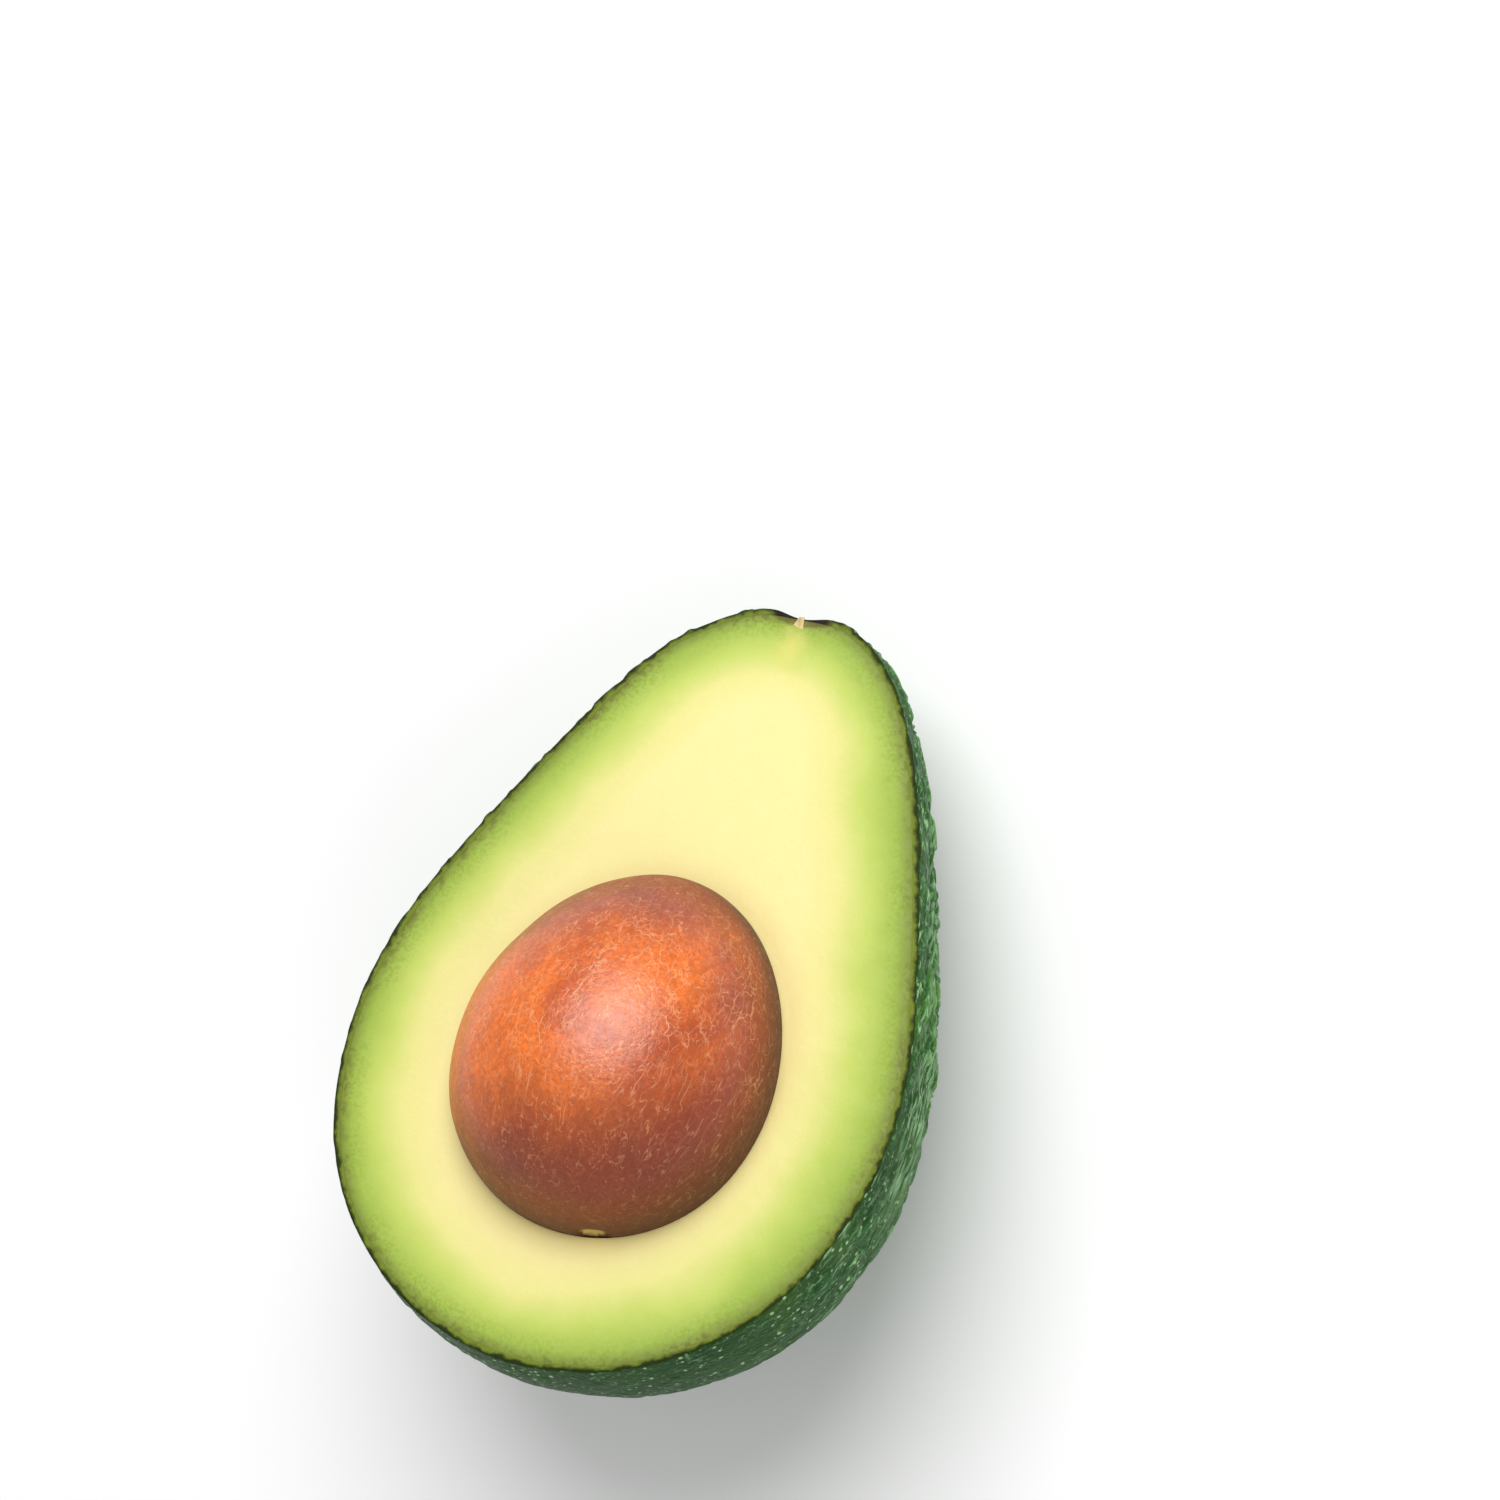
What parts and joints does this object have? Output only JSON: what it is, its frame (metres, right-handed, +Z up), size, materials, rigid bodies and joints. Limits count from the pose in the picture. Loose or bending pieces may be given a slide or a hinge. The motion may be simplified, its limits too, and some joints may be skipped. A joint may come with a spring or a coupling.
{
  "type": "avocado half",
  "caption": "Half of a pear-shaped avocado, cut lengthways, with its peel, flesh, round seed and a stub of stalk, lying on its back with the cut face up.",
  "frame": {"origin": "middle of the small flat spot on the back that the half rests on", "axes": "+Z up, away from the surface it lies on; +Y from the blossom end to the stem end; +X across"},
  "size_m": [0.077, 0.1064, 0.0629],
  "materials": {
    "skin": "dark green bumpy peel, semi-gloss",
    "flesh": "smooth buttery flesh, pale yellow, green towards the peel",
    "seed": "orange-brown seed coat with fine pale veins, satin",
    "stem_stub": "dry and woody, matt"
  },
  "bodies": {
    "root": {"skin": "skin", "flesh": "flesh", "seed": "seed", "stem_stub": "stem_stub"}
  },
  "joints": []
}
